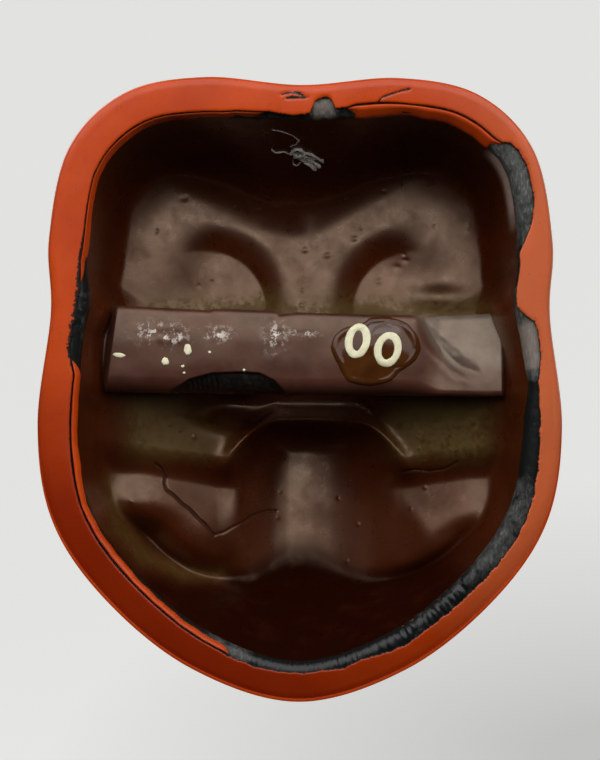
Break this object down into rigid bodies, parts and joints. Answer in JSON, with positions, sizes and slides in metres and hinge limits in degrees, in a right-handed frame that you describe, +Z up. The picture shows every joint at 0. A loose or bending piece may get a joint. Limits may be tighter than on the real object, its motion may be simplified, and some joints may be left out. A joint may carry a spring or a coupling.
{
  "type": "noh mask",
  "caption": "Small lacquered noh mask toggle with a calm carved face, a thick turned rim and a cord bar across its hollow back.",
  "frame": {"origin": "middle of the cord bar, halfway along it and halfway through its height and thickness", "axes": "+Z up the face to the forehead edge, +Y out of the hollow back, so the face looks along -Y; +X is along the cord bar"},
  "size_m": [0.0352, 0.0185, 0.0419],
  "materials": {
    "red_lacquer": "red lacquer over carved wood, satin gloss",
    "brown_lacquer": "dark brown lacquer, glossy with dust in the corners",
    "black_ground": "matt black ground, chipped",
    "black_wood": "bare blackened wood with tool marks",
    "clear_varnish": "clear glossy varnish"
  },
  "bodies": {
    "root": {"mask_shell": "red_lacquer", "rim_coat": "red_lacquer", "ground_layer": "black_ground", "inner_lip": "red_lacquer", "inner_lining": "brown_lacquer", "bar_core": "black_wood", "bar_coat": "brown_lacquer", "varnish_patch": "clear_varnish"}
  },
  "joints": []
}
